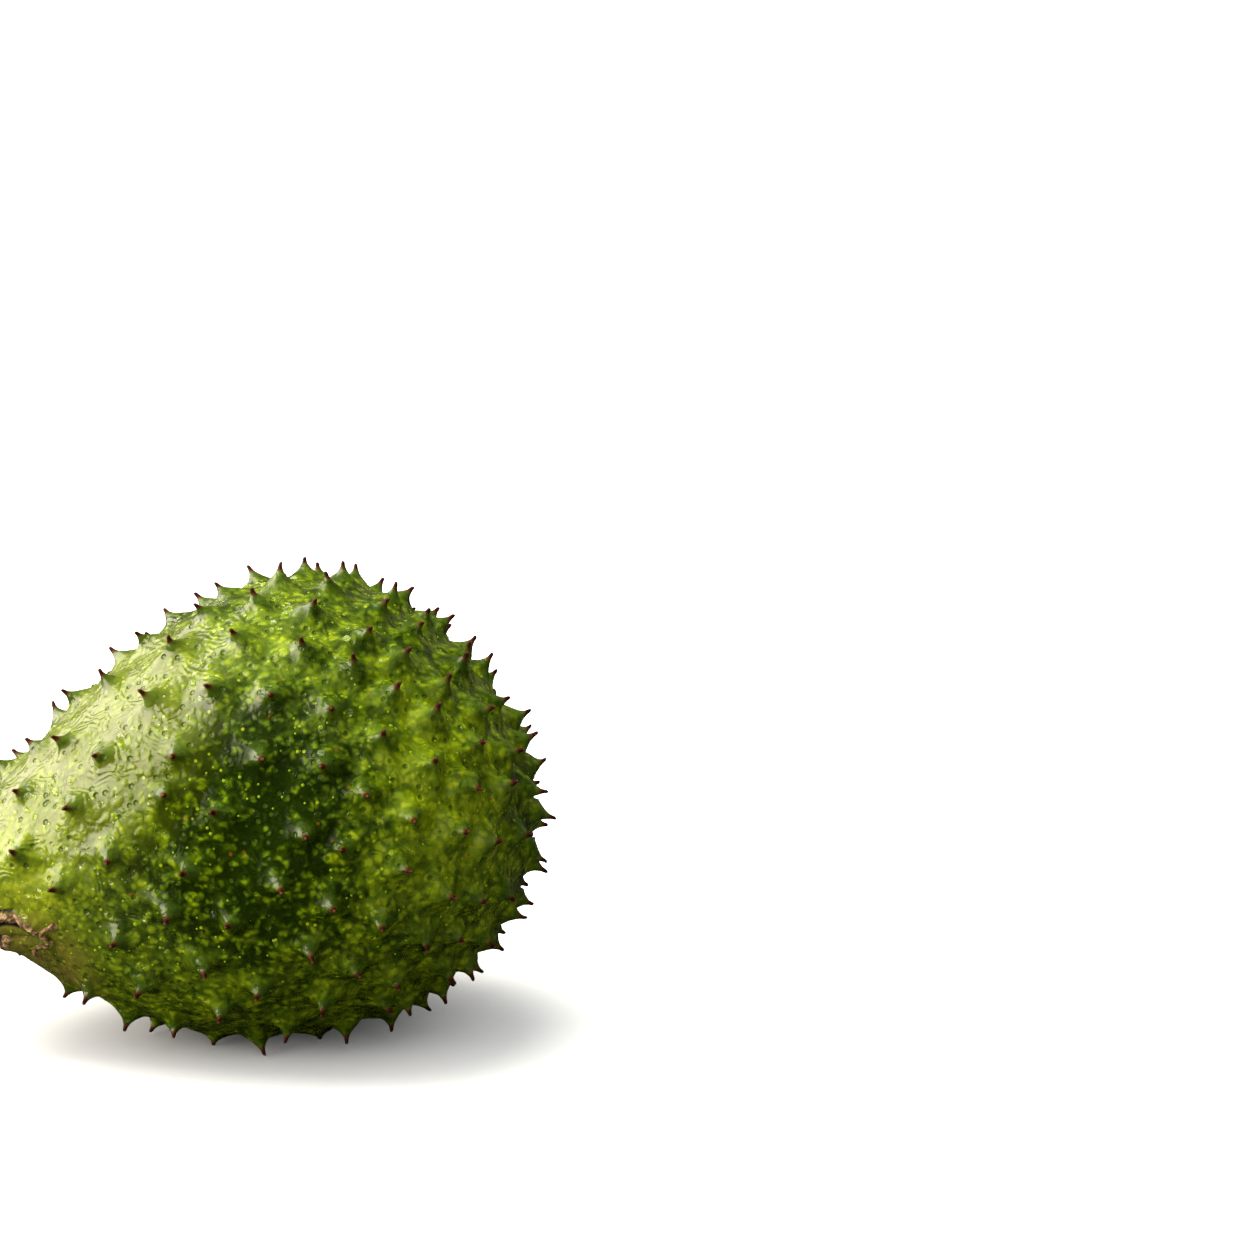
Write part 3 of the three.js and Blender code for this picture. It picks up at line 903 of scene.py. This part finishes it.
class Paint:
    """A material's or the world's node tree, with short ways to add to it."""

    def __init__(self, tree):
        self.tree = tree
        self.tree.nodes.clear()
        self.coordinates = self.add("ShaderNodeTexCoord").outputs
        self.place = self.coordinates["Object"]

    def add(self, kind, inputs=None, **settings):
        made = self.tree.nodes.new(kind)
        for key, value in settings.items():
            setattr(made, key, value)
        for key, value in (inputs or {}).items():
            self.set(made.inputs[key], value)
        return made

    def set(self, socket, value):
        if isinstance(value, bpy.types.NodeSocket):
            self.tree.links.new(value, socket)
        else:
            socket.default_value = value

    def math(self, operation, *values):
        made = self.add("ShaderNodeMath", operation=operation)
        for socket, value in zip(made.inputs, values):
            self.set(socket, value)
        return made.outputs[0]

    def total(self, *parts):
        """The sum of values, each times its weight."""
        (value, weight), *others = parts
        total = self.math("MULTIPLY", value, weight)
        for value, weight in others:
            total = self.math("MULTIPLY_ADD", value, weight, total)
        return total

    def sway(self, texture, amount, middle):
        """A value that a noise moves up and down round its middle."""
        return self.math("MULTIPLY_ADD", self.math("SUBTRACT", texture, 0.5), amount, middle)

    def vector(self, operation, *values, output="Vector", **named):
        made = self.add("ShaderNodeVectorMath", named, operation=operation)
        for socket, value in zip(made.inputs, values):
            self.set(socket, value)
        return made.outputs[output]

    def noise(self, scale, detail, rough=0.55, place=None, distort=0.0):
        inputs = {"Scale": scale, "Detail": detail, "Roughness": rough, "Distortion": distort}
        made = self.add("ShaderNodeTexNoise", {"Vector": place or self.place, **inputs})
        return made.outputs["Fac"]

    def drift(self, scale, amount):
        """The shaded place, moved by up to about half an amount in metres by three noises."""
        made = self.add("ShaderNodeTexNoise", {"Vector": self.place, "Scale": scale, "Detail": 2})
        about_zero = self.vector("SUBTRACT", made.outputs["Color"], (0.5, 0.5, 0.5))
        return self.vector("ADD", self.place, self.vector("SCALE", about_zero, Scale=amount))

    def cells(self, scale, place=None):
        made = self.add("ShaderNodeTexVoronoi", {"Vector": place or self.place, "Scale": scale})
        return made.outputs

    def spots(self, scale, channel, picked, edge):
        """Round spots in some cells of a pattern, picked by a channel of each cell's colour."""
        cells = self.cells(scale)
        colour = self.add("ShaderNodeSeparateColor", {"Color": cells["Color"]})
        pick = self.step(colour.outputs[channel], *picked)
        return self.math("MULTIPLY", self.step(cells["Distance"], *edge), pick)

    def step(self, value, low, high, start=0.0, end=1.0):
        made = self.add(
            "ShaderNodeMapRange",
            {"Value": value, "From Min": low, "From Max": high, "To Min": start, "To Max": end},
            interpolation_type="SMOOTHSTEP",
        )
        return made.outputs["Result"]

    def near(self, place, core, edge, share=1.0):
        """A share that is full round a place on the object and gone farther out, in metres."""
        far = self.vector("DISTANCE", self.place, place, output="Value")
        return self.step(far, core, edge, share, 0.0)

    def mix(self, share, first, second):
        made = self.add("ShaderNodeMix", {0: share, 6: first, 7: second}, data_type="RGBA")
        return made.outputs[2]

    def mix_number(self, share, first, second):
        return self.add("ShaderNodeMix", {0: share, 2: first, 3: second}).outputs[0]

    def over(self, below, colour, share, most):
        """A colour laid over another by a share, up to the most that it covers."""
        return self.mix(self.math("MULTIPLY", share, most), below, colour)

    def ramp(self, value, stops):
        made = self.add("ShaderNodeValToRGB", {"Fac": value})
        line = made.color_ramp
        while len(line.elements) < len(stops):
            line.elements.new(0.5)
        for element, (at, colour) in zip(line.elements, stops):
            element.position = at
            element.color = (*colour, 1)
        return made.outputs["Color"]

    def attribute(self, name, output="Fac"):
        return self.add("ShaderNodeAttribute", attribute_name=name).outputs[output]

    def bump(self, height, distance):
        made = self.add("ShaderNodeBump", {"Height": height, "Distance": distance, "Strength": 1.0})
        return made.outputs["Normal"]

    def end(self, kind, inputs, output):
        shader = self.add(kind, inputs)
        self.tree.links.new(shader.outputs[0], self.add(output).inputs["Surface"])
        return shader

    def finish(self, colour, roughness, normal, **numbers):
        inputs = {"Base Color": colour, "Roughness": roughness, "Normal": normal}
        inputs.update({name.replace("_", " "): value for name, value in numbers.items()})
        self.end("ShaderNodeBsdfPrincipled", inputs, "ShaderNodeOutputMaterial")


def new_material(name):
    material = bpy.data.materials.new(name)
    material.use_nodes = True
    return material, Paint(material.node_tree)


def rind_streaks(p):
    """Streaks that run out from each spine, from where a point is in its spine's patch."""
    spoke = p.add("ShaderNodeSeparateXYZ", {"Vector": p.attribute("spoke", "Vector")}).outputs
    flat = p.add("ShaderNodeCombineXYZ", {"X": spoke["X"], "Y": spoke["Y"], "Z": 0.0}).outputs[0]
    around = p.vector("SCALE", p.vector("NORMALIZE", flat), Scale=4.0)
    outward = p.math("MULTIPLY_ADD", p.attribute("patch"), 7.3, p.math("MULTIPLY", spoke["Z"], 1.6))
    lift = p.add("ShaderNodeCombineXYZ", {"X": 0.0, "Y": 0.0, "Z": outward}).outputs[0]
    return p.noise(1.6, 2, 0.6, place=p.vector("ADD", around, lift), distort=0.3)


def rind_textures(p):
    """What the rind's colour, relief and shine share."""
    bark = p.noise(420, 4, 0.65, distort=1.2)
    blobs = p.cells(310, place=p.drift(160, 0.006))["Distance"]
    return SimpleNamespace(
        tip=p.attribute("tip"),
        mottle=p.noise(190, 3, 0.5, distort=0.35),
        fine=p.noise(560, 2, 0.5),
        blobs=blobs,
        blob=p.step(blobs, 0.62, 0.12),
        streaks=rind_streaks(p),
        pits=p.spots(270, 0, (0.50, 0.56), (0.32, 0.14)),
        bark=bark,
        cork=p.step(p.sway(bark, 0.7, p.attribute("cork")), 0.35, 0.7),
        # deep: the share of the flank with the painted shade.
        deep=p.near(*PAINTED_SHADE_PLACE),
    )


def rind_green(p, t):
    """The rind's green: mottled, with painted shade deepening one flank, painted light and shade
    in other places and on the keels, a painted sheen of even pale green at the stem end, and
    tan beneath it.
    """
    broad = p.noise(28, 3, 0.5)
    parts = (broad, 0.35), (t.mottle, 0.38), (t.blob, 0.12), (t.fine, 0.18)
    # Painted light and shade: the tone is lighter on the keels' crests and darker in their hollows.
    tone = p.total(*parts, (p.attribute("keel"), 0.05))
    bubbles = p.step(t.blobs, 0.55, 0.15, -0.05, 0.09)
    mottling = p.sway(t.mottle, 0.55, bubbles)
    tone = p.math("MULTIPLY_ADD", p.math("MULTIPLY_ADD", t.deep, 0.62, 0.38), mottling, tone)
    # Painted light and shade: each place darkens or lightens the rind's tone where shade or light
    # falls.
    for place in PAINTED_LIGHT_AND_SHADE_PLACES:
        tone = p.math("ADD", tone, p.near(*place))
    green = p.ramp(tone, GREENS)
    # Painted sheen: an even pale green where the key light falls on the stem end.
    green = p.mix(p.near(*PAINTED_SHEEN_PLACE), green, PAINTED_SHEEN_GREEN)
    green = p.over(green, STREAK_GREEN, p.step(t.streaks, 0.40, 0.66), 0.16)
    green = p.over(green, TAN, p.near(*TAN_PLACE), p.step(t.mottle, 0.38, 0.56, 0.4, 1.0))
    # Small dark pits, small lime dots of painted light where water drops gather light, and small
    # brown specks.
    green = p.over(green, PIT_GREEN, t.pits, 0.84)
    green = p.over(green, GATHERED_LIGHT_LIME, p.spots(265, 1, (0.70, 0.74), (0.19, 0.10)), 0.70)
    return p.over(green, SPECK_BROWN, p.spots(190, 2, (0.80, 0.84), (0.15, 0.08)), 0.70)


def rind_material():
    material, p = new_material("rind")
    t = rind_textures(p)

    # The spines are a deeper green, partly their own colour and partly painted shade of their
    # flanks and skirts, and turn maroon and then dark toward their tips.
    colour = p.over(rind_green(p, t), SPINE_GREEN_AND_SHADE, p.step(t.tip, 0.10, 0.40), 0.66)
    tip = p.sway(t.fine, 0.16, t.tip)
    brown = p.step(tip, 0.56, 0.70)
    colour = p.mix(brown, colour, TIP_MAROON)
    colour = p.mix(p.step(tip, 0.66, 0.80), colour, TIP_DARK)
    colour = p.mix(p.step(t.tip, 0.93, 0.985), colour, TIP_END)

    # The corky skin is round the pit and on the ridge by the crease, with painted shade in the
    # cracks beside it.
    colour = p.mix(t.cork, colour, p.ramp(t.bark, CORK_COLOURS))
    colour = p.mix(p.step(p.attribute("crack"), 0.25, 0.75), colour, CRACK_SHADE)

    # Fine wrinkles come and go.
    inputs = {"Scale": 140.0, "Distortion": 4.0, "Detail": 1.0, "Detail Scale": 0.6}
    inputs["Vector"] = p.drift(60, 0.022)
    wrinkles = p.add("ShaderNodeTexWave", inputs, wave_type="BANDS", bands_direction="DIAGONAL")
    elsewhere = p.vector("ADD", p.place, (0.31, 0.11, 0.7))
    wrinkled = p.step(p.noise(48, 2, 0.5, place=elsewhere), 0.44, 0.54)

    height = p.total(
        (t.mottle, 0.15),
        (t.blob, 0.16),
        (t.fine, 0.08),
        (t.streaks, 0.05),
        (p.math("MULTIPLY", wrinkles.outputs["Fac"], wrinkled), 0.11),
        (t.pits, -0.32),
        (p.math("MULTIPLY", t.bark, t.cork), 0.9),
    )
    roughness = p.math("MULTIPLY_ADD", t.mottle, 0.18, 0.19)
    roughness = p.math("MAXIMUM", roughness, p.math("MULTIPLY", t.cork, 0.85))
    roughness = p.math("MAXIMUM", roughness, p.math("MULTIPLY", brown, 0.42))
    gloss = p.mix_number(p.near(*WAXY_PLACE), HALF_GLOSS, FULL_GLOSS)
    gloss = p.mix_number(t.deep, gloss, DULL_GLOSS)
    gloss = p.math("MAXIMUM", gloss, p.step(t.tip, 0.18, 0.42, 0.0, SPINE_GLOSS))
    gloss = p.math("MULTIPLY", gloss, p.step(brown, 0.0, 1.0, 1.0, TIP_GLOSS))
    p.finish(colour, roughness, p.bump(height, RIND_RELIEF), Specular_IOR_Level=gloss)
    return material


def wood_material(name):
    material, p = new_material(name)
    bark = p.noise(380, 5, 0.65, distort=1.0)
    roughness = p.step(bark, 0.3, 0.8, 0.9, 0.7)
    normal = p.bump(bark, WOOD_RELIEF)
    p.finish(p.ramp(bark, WOOD_COLOURS), roughness, normal, Specular_IOR_Level=0.3)
    return material


def water_material():
    """Clear drops, some of them lime with the light that they gather."""
    material, p = new_material("water")
    lime = p.attribute("lime")
    ripples = p.bump(p.noise(500, 1), WATER_RELIEF)
    through = p.math("MULTIPLY_ADD", lime, -0.55, 1.0)
    shine = {"IOR": 1.33, "Transmission_Weight": through, "Specular_IOR_Level": 0.9}
    p.finish(p.mix(lime, WHITE, DROP_LIME), 0.03, ripples, **shine)
    return material


def floor_material():
    material, p = new_material("white_floor")
    path = p.add("ShaderNodeLightPath").outputs
    seen = path["Is Camera Ray"]
    unseen = p.mix(path["Is Diffuse Ray"], FLOOR_IN_SHINE, FLOOR_IN_LIGHT)
    # Painted shadow: ambient occlusion darkens the floor's colour and glow under the fruit.
    open_air = p.add("ShaderNodeAmbientOcclusion", {"Distance": FLOOR_SHADE_REACH}, samples=2)
    shaded = p.step(open_air.outputs["AO"], 0.0, 0.95, 0.05, 1.0)
    glow = p.step(p.vector("LENGTH", p.place, output="Value"), *FLOOR_GLOW)
    inputs = {
        "Base Color": p.mix(seen, unseen, p.mix(shaded, FLOOR_UNDER, FLOOR_CLEAR)),
        "Roughness": 0.7,
        "Specular IOR Level": 0.1,
        "Emission Color": WHITE,
        "Emission Strength": p.math("MULTIPLY", seen, p.math("MULTIPLY", glow, shaded)),
    }
    p.end("ShaderNodeBsdfPrincipled", inputs, "ShaderNodeOutputMaterial")
    return material


# ---------------- the scene

# The camera: its focal length and frame in the photo's pixels, its sensor in millimetres, its place
# and the ways that its right, its top and its back face.
FOCAL_PIXELS, FRAME_PIXELS, SENSOR = 4500, 1254, 36
CAMERA_PLACE = (-0.21159, -1.44067, 0.45838)
CAMERA_RIGHT, CAMERA_UP, CAMERA_BACK = (
    (0.9744, -0.2250, 0.0), (0.0487, 0.2109, 0.9763), (-0.2196, -0.9513, 0.2164),
)

# The soft lights: where each stands (azimuth, elevation, distance), its width and height in metres,
# its power and its colour. Only the key light shines back from the skin.
LIGHT_AIM = (0, 0, 0.07)
LIGHTS = {
    "key": ((-72, 26, 1.6), (3.3, 1.7), 76, (1, 0.87, 0.74)),
    "front": ((170, 34, 1.6), (1.4, 1.4), 12, (1, 1, 0.95)),
    "left": ((-110, 14, 1.4), (0.9, 0.9), 17, (1, 0.93, 0.8)),
    "top": ((-60, 74, 1.5), (1.3, 1.3), 44, (1, 0.98, 0.8)),
}

# The room's light on the fruit: its tint, the way to its bright side, and its strength toward that.
ROOM_TINT, ROOM_BRIGHT_WAY = (1, 0.92, 0.64, 1), (-0.1, 0.95, 0.3)
ROOM_STRENGTH = (-0.35, 0.75, 0.03, 0.22)

FLOOR_HALF, FLOOR_DROP = 20, 0.0002


def around(azimuth, elevation, distance):
    """A place round the fruit: azimuth 0 is behind it and 90 to its right, seen from the camera."""
    a, e = math.radians(azimuth), math.radians(elevation)
    across = distance * math.cos(e)
    return across * math.sin(a), across * math.cos(a), distance * math.sin(e)


def make_camera():
    data = bpy.data.cameras.new("camera")
    data.lens = SENSOR * FOCAL_PIXELS / FRAME_PIXELS
    data.sensor_width = SENSOR
    data.clip_end = 100
    camera = new_object("camera", data)
    turn = Matrix((CAMERA_RIGHT, CAMERA_UP, CAMERA_BACK)).transposed().to_4x4()
    camera.matrix_world = Matrix.Translation(CAMERA_PLACE) @ turn
    bpy.context.scene.camera = camera


def make_light(name, place, size, power, colour):
    data = bpy.data.lights.new(name, "AREA")
    data.shape = "RECTANGLE"
    data.size, data.size_y = size
    data.energy, data.color = power, colour
    light = new_object(name, data)
    toward = (Vector(LIGHT_AIM) - Vector(place)).to_track_quat("-Z", "Y")
    light.matrix_world = Matrix.Translation(place) @ toward.to_matrix().to_4x4()
    light.visible_glossy = name == "key"


def make_world():
    """A room that the camera sees white, and that lights the fruit dimly from the camera's side."""
    world = bpy.data.worlds.new("studio")
    world.use_nodes = True
    p = Paint(world.node_tree)
    seen = p.add("ShaderNodeLightPath").outputs["Is Camera Ray"]
    ways = p.coordinates["Generated"]
    toward = p.vector("DOT_PRODUCT", ways, ROOM_BRIGHT_WAY, output="Value")
    strength = p.math("MAXIMUM", seen, p.step(toward, *ROOM_STRENGTH))
    inputs = {"Color": p.mix(seen, ROOM_TINT, WHITE), "Strength": strength}
    p.end("ShaderNodeBackground", inputs, "ShaderNodeOutputWorld")
    bpy.context.scene.world = world


def make_studio():
    h = FLOOR_HALF
    floor = mesh_object("floor", [(-h, -h, 0), (h, -h, 0), (h, h, 0), (-h, h, 0)], [(0, 1, 2, 3)])
    floor.location.z = -FLOOR_DROP
    floor.data.materials.append(floor_material())
    floor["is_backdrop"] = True
    make_world()
    for name, (stand, size, power, colour) in LIGHTS.items():
        make_light(name, around(*stand), size, power, colour)
    bpy.context.scene.view_settings.view_transform = "Standard"


make_camera()
fruit, hide = make_fruit()
fruit.data.materials.append(rind_material())
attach(fruit, "root")
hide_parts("fruit")

stalk = make_stalk()
stalk.data.materials.append(wood_material("stalk_wood"))
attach(stalk, "root")
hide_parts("stalk")

withered = make_withered()
withered.data.materials.append(wood_material("withered"))
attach(withered, "root")

drops = make_drops(hide)
drops.data.materials.append(water_material())
drops.visible_shadow = False
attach(drops, "root")

make_studio()

boxes = {"cad": CAD_BOX, "visual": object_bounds()}
{name: [[float(x) for x in corner] for corner in box] for name, box in boxes.items()}
